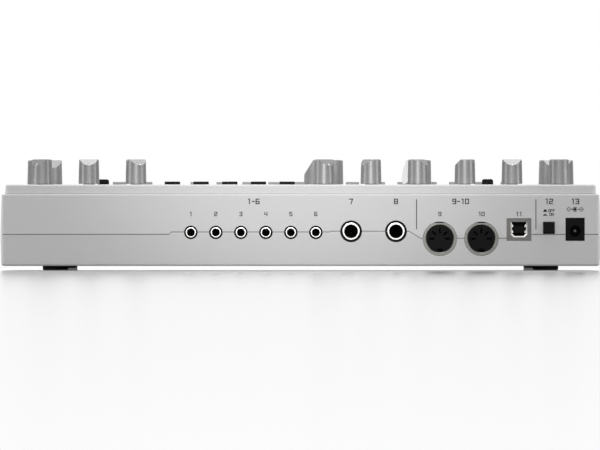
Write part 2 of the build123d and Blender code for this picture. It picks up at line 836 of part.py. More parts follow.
def make_leds():
    leds = []
    for x, y in led_places:
        led = post(x, y, board_top_z, deck_z - led_base_drop, led_base_diameter)
        led += post(x, y, deck_z - led_base_drop, deck_z - led_recess, led_diameter)
        leds.append(fillet(led.edges().group_by(Axis.Z)[-1], led_tip_radius))
    return leds


# ---------------------------------------------------------------- moving pieces
def make_knob(x, y, diameter, top_diameter, chord, slope, pointer):
    """A turned knob with a slanted facet on its pointer side, and the shaft that carries it."""
    low = deck_z + knob_gap
    height = knob_top_z - low
    knob = Pos(0, 0, low + height / 2) * Cone(diameter / 2, top_diameter / 2, height)
    knob = fillet(knob.edges().group_by(Axis.Z)[-1], knob_edge_radius)
    facet = Pos(chord, 0, knob_top_z) * Rot(0, slope, 0)
    knob -= facet * Pos(0, 0, diameter / 2) * Box(4 * diameter, 2 * diameter, diameter)
    along = facet_dot_below_top / math.sin(math.radians(slope))
    knob -= facet * Pos(along, 0, 0) * Cylinder(facet_dot_diameter / 2, 2 * facet_dot_depth)
    knob -= post(0, 0, low, shaft_top_z, shaft_diameter + 2 * thread_gap)
    knob = Pos(x, y, 0) * Rot(0, 0, 90 + pointer) * knob
    shaft_low = board_top_z + pot_floor + shaft_end_gap
    return [knob, post(x, y, shaft_low, shaft_top_z, shaft_diameter)]


def make_key(x, y, width, length, rise):
    """A key cap with the flange that keeps it in the deck, and its switch's plunger."""
    half_x = width / 2
    half_y = length / 2
    flange_low = key_flange_top_z - key_flange_height
    cap = block(x - half_x, x + half_x, y - half_y, y + half_y, flange_low, deck_z + rise)
    rims = cap.edges().group_by(Axis.Z)[-1] + cap.edges().filter_by(Axis.Z)
    cap = fillet(rims, key_edge_radius)
    half_x += key_flange
    half_y += key_flange
    cap += block(x - half_x, x + half_x, y - half_y, y + half_y, flange_low, key_flange_top_z)
    plunger_low = board_top_z + switch_height - plunger_depth
    return [cap, post(x, y, plunger_low, flange_low, plunger_diameter)]


def make_slide_cap(x, y):
    """A slide-switch cap with a rounded, grooved top, on its stem."""
    top = deck_z + slide_cap_rise
    low = deck_underside_z + slide_cap_seat
    half_x = slide_cap_width / 2
    half_y = slide_cap_length / 2
    cap = block(x - half_x, x + half_x, y - half_y, y + half_y, low, top)
    cap = fillet(cap.edges().group_by(Axis.Z)[-1].filter_by(Axis.Y), slide_crown_radius)
    groove = Rot(0, 45, 0) * Box(slide_groove_side, slide_cap_length, slide_groove_side)
    grooves = int(slide_cap_width / slide_groove_pitch)
    for i in range(grooves):
        cap -= Pos(x + (i - (grooves - 1) / 2) * slide_groove_pitch, y, top) * groove
    stem_low = board_top_z + slide_body_height - slide_stem_depth
    half = slide_stem / 2
    return cap + block(x - half, x + half, y - half, y + half, stem_low, low)


def make_power_button():
    end_y = rear_y + power_cap_proud
    half_x = power_cap_width / 2
    half_z = power_cap_height / 2
    cap = block(power_x - half_x, power_x + half_x, end_y - power_cap_length, end_y,
                power_z - half_z, power_z + half_z)
    cap = fillet(cap.edges().group_by(Axis.Y)[-1], key_edge_radius)
    half = power_plunger / 2
    return cap + block(power_x - half, power_x + half,
                       end_y - power_cap_length - power_plunger_depth, end_y - power_cap_length,
                       power_z - half, power_z + half)


# ---------------------------------------------------------------- write every node
top_case, bottom_case = make_case()
save("top_case", top_case)
save("bottom_case", bottom_case)
save("rubber_feet", make_feet())
save("case_screws", make_case_screws())
save("board_screws", make_board_screws())
save("main_board", make_board())
save("board_components", make_board_components())
save("jack_housings", make_jack_housings())
save("jack_bushings", make_jack_bushings())
save("din_shields", [make_din_shield(x) for x in din_xs])
save("din_inserts", [make_din_insert(x) for x in din_xs])
save("usb_shell", make_usb_shell())
save("usb_tongue", make_usb_tongue())
save("power_switch_body", make_power_switch())
save("dc_jack_housing", make_dc_housing())
save("dc_jack_pin", make_dc_pin())
save("potentiometers", make_potentiometers())
save("rotary_selectors", make_rotary_selectors())
save("slide_switch_bodies", make_slide_bodies())
save("key_switches", make_key_switches())
save("leds", make_leds())

for i, (x, pointer) in enumerate(zip(level_knob_xs, level_knob_pointers)):
    knob = make_knob(x, level_row_y, level_knob_diameter, level_knob_top_diameter,
                     level_knob_chord, facet_slope, pointer)
    save(f"level_knob_{i + 1}", knob)
for name, x, pointer in (("tempo_knob", -end_knob_x, tempo_pointer),
                         ("volume_knob", end_knob_x, volume_pointer)):
    save(name, make_knob(x, large_row_y, end_knob_diameter, end_knob_top_diameter,
                         end_knob_chord, facet_slope, pointer))
save("mode_knob", make_knob(mode_knob_x, large_row_y, mode_knob_diameter, mode_knob_top_diameter,
                            mode_knob_chord, mode_facet_slope, mode_pointer))
save("voice_knob", make_knob(voice_knob_x, large_row_y, voice_knob_diameter,
                             voice_knob_top_diameter, voice_knob_chord, voice_facet_slope,
                             voice_pointer))
for name, x, y, width, length, rise in key_places():
    save(name, make_key(x, y, width, length, rise))
for name, x, y, _ in slide_places():
    save(name, make_slide_cap(x, y))
save("power_button", make_power_button())
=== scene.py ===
import json
import math

import bmesh
import bpy
from bpy.props import FloatProperty, FloatVectorProperty, PointerProperty
from bpy.types import NodeSocket, Operator, Panel, PropertyGroup, Scene
from mathutils import Matrix, Vector


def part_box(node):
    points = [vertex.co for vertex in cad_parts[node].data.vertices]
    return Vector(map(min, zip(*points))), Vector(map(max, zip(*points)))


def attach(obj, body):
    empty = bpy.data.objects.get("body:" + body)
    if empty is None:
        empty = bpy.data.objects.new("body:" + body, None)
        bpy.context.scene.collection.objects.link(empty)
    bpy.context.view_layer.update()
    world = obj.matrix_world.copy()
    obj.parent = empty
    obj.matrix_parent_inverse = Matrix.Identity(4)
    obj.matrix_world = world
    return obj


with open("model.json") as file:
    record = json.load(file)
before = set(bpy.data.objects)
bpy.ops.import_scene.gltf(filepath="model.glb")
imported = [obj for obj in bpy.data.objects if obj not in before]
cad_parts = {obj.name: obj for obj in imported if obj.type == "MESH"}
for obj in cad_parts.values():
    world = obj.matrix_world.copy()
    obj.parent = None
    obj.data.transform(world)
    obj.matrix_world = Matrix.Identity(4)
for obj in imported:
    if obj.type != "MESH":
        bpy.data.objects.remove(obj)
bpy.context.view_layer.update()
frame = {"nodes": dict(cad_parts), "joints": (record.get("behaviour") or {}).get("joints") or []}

bl_info = {
    "name": "Drum Machine Dresser",
    "version": (1, 0, 0),
    "blender": (4, 5, 0),
    "location": "View3D > Sidebar > Drum Machine",
    "description": "Finishes, printing, socket contacts and a studio for a table-top drum machine",
    "category": "Object",
}

MM = 0.001
WHITE = (1, 1, 1, 1)


# ---- places from the frame
CASE_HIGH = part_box("top_case")[1]
REAR_Y = CASE_HIGH.y
DECK_Z = CASE_HIGH.z
BASE_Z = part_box("bottom_case")[0].z
KNOB_TOP_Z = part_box("tempo_knob")[1].z
PARTING_Z = 18.0 * MM         # the case is widest here
DRAFT = math.radians(1.7)     # and leans in above it
MINI_JACKS = 6

LEVEL_KNOBS = [f"level_knob_{i}" for i in range(1, 10)]
END_KNOBS = ["tempo_knob", "volume_knob"]
SELECTOR_KNOBS = ["mode_knob", "voice_knob"]
STEP_KEYS = [f"step_key_{i:02d}" for i in range(1, 17)]
FUNCTION_KEYS = [f"function_key_{i}" for i in range(1, 6)]
CORNER_KEYS = ["run_key", "tap_key"]
SLIDE_CAPS = ["pattern_switch_cap", "level_switch_cap"]
KNOBS = LEVEL_KNOBS + END_KNOBS + SELECTOR_KNOBS


def joint_axis(node):
    """The axis of the hinge that turns a knob, as x and y."""
    for joint in frame["joints"]:
        if joint["child"] == node:
            return Vector(joint["pos_m"][:2])
    raise RuntimeError(f"no joint turns {node}")


def corners_of(places):
    """Lowest and highest corner of the box round some points."""
    low = Vector([min(place[k] for place in places) for k in range(3)])
    high = Vector([max(place[k] for place in places) for k in range(3)])
    return low, high


def centre(node):
    """Middle of a node's box."""
    low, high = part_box(node)
    return (low + high) / 2


# ---- colour
def linear(hex_code):
    """An sRGB hex value as a linear RGBA colour."""
    channels = []
    for i in (0, 2, 4):
        value = int(hex_code[i:i + 2], 16) / 255
        low = value / 12.92
        high = ((value + 0.055) / 1.055) ** 2.4
        channels.append(low if value <= 0.04045 else high)
    return (*channels, 1.0)


def colour_property(name, description, hex_code):
    """A colour that a user may change."""
    return FloatVectorProperty(
        name=name, description=description, subtype="COLOR", size=4, min=0.0, max=1.0,
        default=linear(hex_code),
    )


def size_property(name, description, millimetres):
    """A length that a user may change."""
    return FloatProperty(
        name=name, description=description, subtype="DISTANCE", unit="LENGTH",
        default=millimetres * MM, min=0.0,
    )


# ---- settings
class CaseSettings(PropertyGroup):
    paint: colour_property("Paint", "Silver-grey paint of the two shells", "CFCFCF")
    paint_grain: size_property("Paint grain", "Width of the fine texture in the paint", 0.35)
    rubber: colour_property("Rubber", "Colour of the feet", "121212")
    label: colour_property("Label", "Blank label under the case", "C9CBCC")


class ControlSettings(PropertyGroup):
    knob: colour_property("Knob", "Satin paint of the knobs", "848484")
    key_light: colour_property("Light key", "Step, run and tap keys", "8C8C8B")
    key_dark: colour_property("Dark key", "Function keys and switch caps", "060606")
    led: colour_property("Indicator", "Tinted body of the indicators", "7A1510")


class SocketSettings(PropertyGroup):
    plastic: colour_property("Socket plastic", "Black housings and inserts", "070707")
    nickel: colour_property("Nickel", "Plated bushings and pins", "E6E5E2")
    shield: colour_property("Shield", "Cast sleeves of the round sockets", "696865")
    tin: colour_property("Tin plate", "Shell of the square socket", "5A5958")
    # Painted shade: this bronze is darker than the metal, so that contacts deep in holes stay dark.
    bronze: colour_property("Bronze", "Dull spring contacts deep inside the sockets", "4A463F")


class PrintSettings(PropertyGroup):
    ink: colour_property("Ink", "Screen-printed marks", "161616")
    mark: colour_property("Mark", "Paint in the knobs' recesses", "F2F2F0")
    ink_thickness: size_property("Ink thickness", "How far the ink stands on the paint", 0.03)


class StageSettings(PropertyGroup):
    floor: colour_property("Floor", "Pale floor", "F4F4F4")
    bounce: colour_property("Bounce", "How much light the floor sends up", "909090")
    backdrop: colour_property("Backdrop", "Colour seen behind the machine", "FFFFFF")
    camera_distance: size_property("Camera distance", "Rear panel to the camera", 2802.0)
    camera_height: size_property("Camera height", "Floor to the lens", 25.2)
    lens: FloatProperty(name="Lens", description="Focal length", default=331.0, min=1.0)
    shift_x: FloatProperty(name="Shift X", description="Lens shift, part of the width", default=-0.0008)
    shift_y: FloatProperty(name="Shift Y", description="Lens shift, part of the width", default=-0.0075)


# ---- node and mesh helpers
def add_node(tree, kind, inputs=None, **settings):
    """Add a shader node of a kind with its settings, its values and its links."""
    node = tree.nodes.new(f"ShaderNode{kind}")
    for name, value in settings.items():
        setattr(node, name, value)
    for socket, value in (inputs or {}).items():
        if isinstance(value, NodeSocket):
            tree.links.new(value, node.inputs[socket])
        else:
            node.inputs[socket].default_value = value
    return node


def bare_tree(owner):
    """The emptied node tree of a material or a world."""
    owner.use_nodes = True
    owner.node_tree.nodes.clear()
    return owner.node_tree


def new_material(name, colour, roughness, **sockets):
    """A material with one Principled shader, its node tree and that shader."""
    material = bpy.data.materials.new(name)
    tree = bare_tree(material)
    shader = add_node(tree, "BsdfPrincipled",
                      {"Base Color": colour, "Roughness": roughness, **sockets})
    add_node(tree, "OutputMaterial", {"Surface": shader.outputs["BSDF"]})
    material.diffuse_color = colour
    return material, tree, shader


def object_position(tree):
    """Surface position in metres, which rides with the piece."""
    return add_node(tree, "TexCoord").outputs["Object"]


def vary_colour(tree, shader, colour, factor, spread):
    """Let a 0-to-1 factor darken and lighten the base colour by spread."""
    dark = [c * (1 - spread) for c in colour[:3]] + [1.0]
    light = [min(1.0, c * (1 + spread)) for c in colour[:3]] + [1.0]
    mix = add_node(tree, "Mix", {0: factor, 6: dark, 7: light}, data_type="RGBA")
    tree.links.new(mix.outputs[2], shader.inputs["Base Color"])


def map_range(tree, value, **ends):
    """A value moved from one span to another, both 0 to 1 where ends don't say otherwise."""
    return add_node(tree, "MapRange", {"Value": value, **ends}).outputs["Result"]


def vary_roughness(tree, shader, factor, low, high):
    """Let a 0-to-1 factor move the roughness between two values."""
    spread = map_range(tree, factor, **{"To Min": low, "To Max": high})
    tree.links.new(spread, shader.inputs["Roughness"])


def add_bump(tree, shader, height, depth, strength):
    """Bump the surface by a height factor; depth is in metres."""
    bump = add_node(tree, "Bump", {"Height": height, "Distance": depth, "Strength": strength})
    tree.links.new(bump.outputs["Normal"], shader.inputs["Normal"])


def noise(tree, width, detail, distortion=0.0, stretch=None):
    """Noise whose features are about width metres wide, drawn out where stretch is under 1."""
    vector = object_position(tree)
    if stretch:
        mapping = add_node(tree, "Mapping", {"Vector": vector, "Scale": stretch})
        vector = mapping.outputs["Vector"]
    return add_node(tree, "TexNoise", {
        "Vector": vector, "Scale": 1.0 / width, "Detail": detail, "Distortion": distortion,
    }).outputs["Fac"]


def dress(material, *nodes):
    """Give CAD nodes their material."""
    for node in nodes:
        slots = frame["nodes"][node].data.materials
        slots.clear()
        slots.append(material)


def new_object(name, data):
    """An object of the scene with its data."""
    obj = bpy.data.objects.new(name, data)
    bpy.context.scene.collection.objects.link(obj)
    return obj


def add_piece(name, mesh_builder, material, body):
    """Build a mesh with bmesh and add it as a piece that rides on a body."""
    bm = bmesh.new()
    mesh_builder(bm)
    bmesh.ops.recalc_face_normals(bm, faces=bm.faces)
    mesh = bpy.data.meshes.new(name)
    bm.to_mesh(mesh)
    bm.free()
    mesh.materials.append(material)
    obj = new_object(name, mesh)
    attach(obj, body)


def skin(bm, rows, closed=False):
    """Faces between rings of points. The last ring joins the first, or both are capped."""
    rings = [[bm.verts.new(point) for point in row] for row in rows]
    if closed:
        rings.append(rings[0])
    else:
        bm.faces.new(rings[0])
        bm.faces.new(rings[-1])
    for first, second in zip(rings, rings[1:]):
        for i in range(len(first)):
            j = (i + 1) % len(first)
            bm.faces.new((first[i], first[j], second[j], second[i]))


def add_prism(bm, outline, matrix, thickness):
    """A thin plate: an outline in the XY plane of matrix, from 0 to thickness."""
    skin(bm, [[matrix @ Vector((x, y, height)) for x, y in outline] for height in (0, thickness)])


def add_bar(bm, start, end, width, *sheet):
    """A printed line between two points. sheet is add_prism's matrix and thickness."""
    a = Vector(start)
    b = Vector(end)
    along = (b - a).normalized() * width / 2
    side = Vector((-along.y, along.x))
    a = a - along
    b = b + along
    add_prism(bm, [a - side, b - side, b + side, a + side], *sheet)


def around(middle, radius, degrees):
    """The point at a radius and an angle from a middle."""
    angle = math.radians(degrees)
    return middle[0] + radius * math.cos(angle), middle[1] + radius * math.sin(angle)


def add_ring(bm, middle, inner, outer, matrix, thickness, start=0.0, end=360.0, steps=48):
    """A flat printed ring or arc."""
    section = ((inner, 0.0), (outer, 0.0), (outer, thickness), (inner, thickness))
    full = end - start >= 360.0
    rows = []
    for i in range(steps if full else steps + 1):
        angle = start + (end - start) * i / steps
        rows.append([matrix @ Vector((*around(middle, radius, angle), height))
                     for radius, height in section])
    skin(bm, rows, closed=full)


def add_disc(bm, middle, radius, *sheet, steps=32):
    """A flat printed disc."""
    add_prism(bm, [around(middle, radius, 360 * i / steps) for i in range(steps)], *sheet)


def add_panel(bm, left, right, low, high, *sheet):
    """A printed rectangle."""
    add_prism(bm, [(left, low), (right, low), (right, high), (left, high)], *sheet)


def rearwards(degrees):
    """A way along the deck: 0 is towards the rear panel, and more turns anticlockwise."""
    return Vector(around((0, 0), 1.0, 90 + degrees))


def add_ribbon(bm, path, thickness, width, matrix):
    """A bent strip of sheet metal: a path in the XY plane of matrix, thickened both ways."""
    left = []
    right = []
    for i, point in enumerate(path):
        before = path[max(i - 1, 0)]
        after = path[min(i + 1, len(path) - 1)]
        along = (after - before).normalized()
        side = Vector((-along.y, along.x)) * thickness / 2
        left.append(point + side)
        right.append(point - side)
    shift = Matrix.Translation((0, 0, -width / 2))
    add_prism(bm, left + list(reversed(right)), matrix @ shift, width)


def smooth_path(points, steps=6):
    """A round curve through points, for bent springs."""
    curve = []
    count = len(points)
    for i in range(count - 1):
        p0 = Vector(points[max(i - 1, 0)])
        p1 = Vector(points[i])
        p2 = Vector(points[i + 1])
        p3 = Vector(points[min(i + 2, count - 1)])
        for k in range(steps):
            t = k / steps
            curve.append(0.5 * (2 * p1 + (p2 - p0) * t + (2 * p0 - 5 * p1 + 4 * p2 - p3) * t * t
                                + (3 * p1 - p0 - 3 * p2 + p3) * t ** 3))
    curve.append(Vector(points[-1]))
    return curve


# Stroke lettering on a grid 4 wide and 6 high. Only digits and the words ON and OFF use it.
LOOP = [(0, 0), (4, 0), (4, 6), (0, 6), (0, 0)]
BAR = [(0, 3), (4, 3)]
STROKES = {
    "0": [LOOP],
    "1": [[(1, 6), (2.4, 6), (2.4, 0)]],
    "2": [[(0, 6), (4, 6), (4, 3), (0, 3), (0, 0), (4, 0)]],
    "3": [[(0, 6), (4, 6), (4, 0), (0, 0)], [(1, 3), (4, 3)]],
    "4": [[(0, 6), (0, 2.4), (4, 2.4)], [(4, 6), (4, 0)]],
    "5": [[(4, 6), (0, 6), (0, 3), (4, 3), (4, 0), (0, 0)]],
    "6": [[(4, 6), (0, 6), (0, 0), (4, 0), (4, 3), (0, 3)]],
    "7": [[(0, 6), (4, 6), (2, 0)]],
    "8": [LOOP, BAR],
    "9": [[(0, 0), (4, 0), (4, 6), (0, 6), (0, 3), (4, 3)]],
    "O": [LOOP],
    "N": [[(0, 0), (0, 6), (4, 0), (4, 6)]],
    "F": [[(0, 0), (0, 6), (4, 6)], [(0, 3), (3.2, 3)]],
    "-": [[(0.6, 3), (3.4, 3)]],
    "+": [[(0.4, 3), (3.6, 3)], [(2, 1.4), (2, 4.6)]],
}
STROKE_ADVANCE = 5.6
STROKE_GAP = 1.6
STROKE_HEIGHT = 6.0
STROKE_WEIGHT = 0.2           # a stroke's width over the letter's height


def add_lettering(bm, text, middle, height, *sheet):
    """Stroke lettering centred on a point."""
    unit = height / STROKE_HEIGHT
    width = (len(text) * STROKE_ADVANCE - STROKE_GAP) * unit
    x0 = middle[0] - width / 2
    y0 = middle[1] - height / 2
    for i, letter in enumerate(text):
        left = x0 + i * STROKE_ADVANCE * unit
        for stroke in STROKES[letter]:
            points = [(left + x * unit, y0 + y * unit) for x, y in stroke]
            for start, end in zip(points, points[1:]):
                add_bar(bm, start, end, height * STROKE_WEIGHT, *sheet)


def frame_at(origin, x_axis, y_axis):
    """A matrix with its origin and two of its axes given."""
    first = Vector(x_axis).normalized()
    second = Vector(y_axis).normalized()
    matrix = Matrix((first, second, first.cross(second))).transposed().to_4x4()
    matrix.translation = Vector(origin)
    return matrix


def rear_plane():
    """Plane of the rear panel above the parting line, read from behind."""
    return frame_at((0, REAR_Y, PARTING_Z), (-1, 0, 0), (0, -math.sin(DRAFT), math.cos(DRAFT)))


def upright(x, z):
    """A plane across X, with Y as its first axis and Z as its second."""
    return frame_at((x, 0, z), (0, 1, 0), (0, 0, 1))


def loose_part_middles(node):
    """Middle of each loose part of a node, from the highest X down."""
    weld = 1e-6
    bm = bmesh.new()
    bm.from_mesh(frame["nodes"][node].data)
    bmesh.ops.remove_doubles(bm, verts=bm.verts, dist=weld)
    seen = set()
    middles = []
    for vert in bm.verts:
        stack = [vert]
        places = []
        while stack:
            current = stack.pop()
            if current.index in seen:
                continue
            seen.add(current.index)
            places.append(current.co.copy())
            stack.extend(edge.other_vert(current) for edge in current.link_edges)
        if places:
            low, high = corners_of(places)
            middles.append((low + high) / 2)
    bm.free()
    return sorted(middles, key=lambda middle: -middle.x)


FACET_SLOPES = (0.3, 0.9)     # the Z of a slanted facet's normal lies between these


def facet_recess(node):
    """Middle and normal of the round recess in a knob's slanted facet."""
    groups = {}
    least, most = FACET_SLOPES
    for face in frame["nodes"][node].data.polygons:
        if least < face.normal.z < most:
            key = tuple(round(part, 2) for part in face.normal)
            groups.setdefault(key, []).append(face)
    facet = max(groups.values(), key=lambda faces: sum(face.area for face in faces))
    normal = facet[0].normal.copy()
    depths = [face.center.dot(normal) for face in facet]
    middle_depth = (min(depths) + max(depths)) / 2
    floor = [face for face, depth in zip(facet, depths) if depth < middle_depth]
    area = sum(face.area for face in floor)
    centre_point = sum((face.center * face.area for face in floor), Vector()) / area
    return centre_point, normal


# ---- materials
METAL = {"Metallic": 1.0}


def coat(ior, specular=0.5):
    """Shader values of a painted or moulded surface."""
    return {"IOR": ior, "Specular IOR Level": specular}


def grained(name, colour, roughness, sockets, grain, detail=3.0, distortion=0.0, stretch=None,
            spread=None, gloss=None, bump=None):
    """A material with one grain, which moves its colour, its roughness and its surface.

    grain is the grain's width in mm, spread how far the colour moves, gloss the lowest and
    highest roughness, and bump the relief's depth in mm and its strength.
    """
    material, tree, shader = new_material(name, colour, roughness, **sockets)
    pattern = noise(tree, grain * MM, detail, distortion, stretch)
    if spread:
        vary_colour(tree, shader, colour, pattern, spread)
    if gloss:
        vary_roughness(tree, shader, pattern, *gloss)
    if bump:
        depth, strength = bump
        add_bump(tree, shader, pattern, depth * MM, strength)
    return material


def sprayed_abs(colour, grain):
    """Silver-grey paint sprayed on moulded ABS: a soft sheen with a very fine orange peel.

    The peel breaks up reflections, so that large faces shade smoothly and never mirror. A wide
    faint cloud keeps them from looking flat. Ambient occlusion paints shade into narrow gaps.
    """
    cloud_width = 45 * MM
    shade_reach = 0.8 * MM
    material, tree, shader = new_material("sprayed_abs", colour, 0.58, **coat(1.5, 0.4))
    vary_colour(tree, shader, colour, noise(tree, cloud_width, detail=3.0), 0.012)
    peel = noise(tree, grain, detail=3.0)
    vary_roughness(tree, shader, peel, 0.54, 0.64)
    add_bump(tree, shader, peel, depth=0.012 * MM, strength=0.6)
    # Painted shade: ambient occlusion darkens the paint's colour in gaps and creases within the reach.
    paint = shader.inputs["Base Color"].links[0].from_socket
    crease_shade = add_node(tree, "AmbientOcclusion", {"Color": paint, "Distance": shade_reach}, samples=8)
    tree.links.new(crease_shade.outputs["Color"], shader.inputs["Base Color"])
    return material


def satin_knob_paint(colour):
    """Satin metallic paint on a moulded knob: mid grey, with broad soft highlights."""
    return grained("satin_knob_paint", colour, 0.36, {**coat(1.5, 0.3), "Metallic": 0.4},
                   grain=0.25, detail=2.0, spread=0.02, gloss=(0.33, 0.4), bump=(0.002, 0.5))


def moulded_key(name, colour, specular):
    """Moulded ABS key: satin, with the fine spark-erosion texture of its mould."""
    return grained(name, colour, 0.45, coat(1.53, specular), grain=0.3, spread=0.04,
                   gloss=(0.38, 0.55), bump=(0.015, 0.7))


def moulded_nylon(colour):
    """Black glass-filled nylon of sockets: dark, slightly streaked and softly glossy."""
    return grained("moulded_nylon", colour, 0.4, coat(1.53, 0.06), grain=0.8, detail=4.0,
                   distortion=0.6, spread=0.25, gloss=(0.32, 0.5), bump=(0.01, 0.5))


def plated_nickel(colour):
    """Bright nickel on turned brass: a clean mirror with faint lathe marks."""
    return grained("plated_nickel", colour, 0.14, METAL, grain=0.5, detail=2.0,
                   gloss=(0.1, 0.2), bump=(0.002, 0.4))


def spring_bronze(colour):
    """Dull brown phosphor bronze of leaf springs, darkened as painted shade to stay dark in a hole."""
    return grained("spring_bronze", colour, 0.4, METAL, grain=0.6, spread=0.2, gloss=(0.32, 0.5))


def cast_zinc(colour):
    """Die-cast zinc with satin nickel: grey metal, slightly grainy, never a mirror."""
    return grained("cast_zinc", colour, 0.36, METAL, grain=0.4, spread=0.05, gloss=(0.3, 0.46),
                   bump=(0.008, 0.6))


def tin_plate(colour):
    """Pressed tin-plated steel: grey metal with rolling marks along one way."""
    return grained("tin_plate", colour, 0.32, METAL, grain=0.3, stretch=(1.0, 0.08, 1.0),
                   gloss=(0.24, 0.42), bump=(0.003, 0.5))


def foot_rubber(colour):
    """Black rubber: nearly matt, with a dusty bloom in its pores."""
    return grained("foot_rubber", colour, 0.75, coat(1.52, 0.2), grain=1.2, detail=4.0,
                   spread=0.3, gloss=(0.65, 0.85), bump=(0.03, 0.6))


def black_zinc():
    """Black zinc on steel screws: dark metal, worn a little brighter on its high spots."""
    return grained("black_zinc", linear("2A2A2C"), 0.38, METAL, grain=0.6, detail=4.0,
                   spread=0.4, gloss=(0.3, 0.5))


def solder_mask():
    """Green solder mask over glass laminate: glossy, with copper pours showing faintly."""
    colour = linear("123A1E")
    pour_length = 6 * MM
    material, tree, shader = new_material("solder_mask", colour, 0.25, **coat(1.55))
    pours = add_node(tree, "TexBrick", {
        "Vector": object_position(tree), "Scale": 1.0 / pour_length, "Mortar Size": 0.04,
        "Color1": colour, "Color2": linear("174726"), "Mortar": linear("0D2C16"),
    })
    tree.links.new(pours.outputs["Color"], shader.inputs["Base Color"])
    add_bump(tree, shader, pours.outputs["Fac"], depth=0.03 * MM, strength=0.5)
    return material


def moulded_epoxy():
    """Black epoxy of chips and sleeves: dull, with a fine grain."""
    return grained("moulded_epoxy", linear("1B1B1C"), 0.5, coat(1.55), grain=0.4, spread=0.2,
                   bump=(0.01, 0.5))


def pressed_steel():
    """Bright pressed steel of controls: a soft metal sheen, uneven where it was rolled."""
    return grained("pressed_steel", linear("B5B4B0"), 0.35, METAL, grain=0.7, gloss=(0.28, 0.45))


def tinted_epoxy(colour):
    """Tinted epoxy of an unlit indicator: deep red and glossy, with paler patches."""
    return grained("tinted_epoxy", colour, 0.12, {**coat(1.54), "Transmission Weight": 0.25},
                   grain=1.5, detail=1.0, spread=0.25)


def screen_ink(name, colour):
    """Screen-printed ink: dark grey and matt, with slightly uneven cover."""
    return grained(name, colour, 0.55, coat(1.5, 0.2), grain=0.5, spread=0.15)


def mark_paint(colour):
    """White paint filled into a recess: satin, and a little grey where it is thin."""
    return grained("mark_paint", colour, 0.4, coat(1.5), grain=0.4, detail=2.0, spread=0.08)


def label_film(colour):
    """Silver polyester film of a blank label: thin, satin and faintly brushed."""
    return grained("label_film", colour, 0.4, {"Metallic": 0.6}, grain=0.4, detail=2.0,
                   stretch=(0.04, 1.0, 1.0), gloss=(0.3, 0.5))


# ---- operators
class DRUM_OT_case(Operator):
    """Finish the two shells, the feet and the screws"""
    bl_idname = "drum_machine.case"
    bl_label = "Finish the case"

    def execute(self, context):
        case = context.scene.drum_case
        dress(sprayed_abs(case.paint, case.paint_grain), "top_case", "bottom_case")
        dress(foot_rubber(case.rubber), "rubber_feet")
        dress(black_zinc(), "case_screws", "board_screws")
        return {"FINISHED"}


class DRUM_OT_controls(Operator):
    """Finish the knobs, keys, switch caps, power button and indicators"""
    bl_idname = "drum_machine.controls"
    bl_label = "Finish the controls"

    def execute(self, context):
        controls = context.scene.drum_controls
        dress(satin_knob_paint(controls.knob), *KNOBS)
        light = moulded_key("moulded_key_light", controls.key_light, specular=0.25)
        dress(light, *STEP_KEYS, *CORNER_KEYS)
        dark = moulded_key("moulded_key_dark", controls.key_dark, specular=0.08)
        dress(dark, *FUNCTION_KEYS, *SLIDE_CAPS, "power_button")
        dress(tinted_epoxy(controls.led), "leds")
        return {"FINISHED"}


class DRUM_OT_sockets(Operator):
    """Finish the jacks, round sockets, square socket and supply inlet"""
    bl_idname = "drum_machine.sockets"
    bl_label = "Finish the sockets"

    def execute(self, context):
        sockets = context.scene.drum_sockets
        dress(moulded_nylon(sockets.plastic), "jack_housings", "din_inserts", "usb_tongue",
              "power_switch_body", "dc_jack_housing")
        dress(plated_nickel(sockets.nickel), "jack_bushings")
        dress(spring_bronze(sockets.bronze), "dc_jack_pin")
        dress(cast_zinc(sockets.shield), "din_shields")
        dress(tin_plate(sockets.tin), "usb_shell")
        return {"FINISHED"}


class DRUM_OT_inside(Operator):
    """Finish the board and what is soldered to it"""
    bl_idname = "drum_machine.inside"
    bl_label = "Finish the inside"

    def execute(self, context):
        dress(solder_mask(), "main_board")
        dress(moulded_epoxy(), "board_components", "key_switches")
        dress(pressed_steel(), "potentiometers", "rotary_selectors", "slide_switch_bodies")
        return {"FINISHED"}


class DRUM_OT_socket_metal(Operator):
    """Add the contacts, springs and rims of the sockets"""
    bl_idname = "drum_machine.socket_metal"
    bl_label = "Add socket contacts"

    def execute(self, context):
        sockets = context.scene.drum_sockets
        nickel = plated_nickel(sockets.nickel)
        bronze = spring_bronze(sockets.bronze)
        nylon = moulded_nylon(sockets.plastic)
        for name, builder, material, slot in (
            ("din_contacts", build_din_contacts, bronze, "bushing_nickel"),
            ("jack_springs", build_jack_springs, bronze, "bushing_nickel"),
            ("usb_contacts", build_usb_contacts, bronze, "bushing_nickel"),
            # Painted highlight: the lip and the tabs belong to the tin shell, but get paler bright
            # nickel.
            ("usb_lip", build_usb_lip, nickel, "shell_tin"),
            ("usb_springs", build_usb_springs, nickel, "shell_tin"),
            ("dc_spring", build_dc_spring, bronze, "bushing_nickel"),
            ("usb_liner", build_usb_liner, nylon, "socket_black"),
            ("jack_collars", build_jack_collars, nylon, "socket_black"),
        ):
            add_piece(name, builder, material, "root")
        return {"FINISHED"}


DIN_Z = 15.9 * MM
DIN_ANGLES = (0, 45, 90, 135, 180)
DIN_BOW = ((-5.9, 4.3), (-4.4, 3.6), (-3.0, 3.7), (-2.0, 4.4))   # mm from the face and axis


def build_din_contacts(bm):
    """Five bowed contacts in each round socket, on a circle of 8 mm."""
    face_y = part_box("din_inserts")[1].y
    bow = smooth_path([(depth * MM, reach * MM) for depth, reach in DIN_BOW])
    for axis in loose_part_middles("din_inserts"):
        origin = Vector((axis.x, face_y, DIN_Z))
        for angle in DIN_ANGLES:
            turn = math.radians(angle)
            outward = Vector((math.cos(turn), 0, math.sin(turn)))
            place = frame_at(origin, (0, 1, 0), outward)
            add_ribbon(bm, bow, thickness=0.25 * MM, width=0.6 * MM, matrix=place)


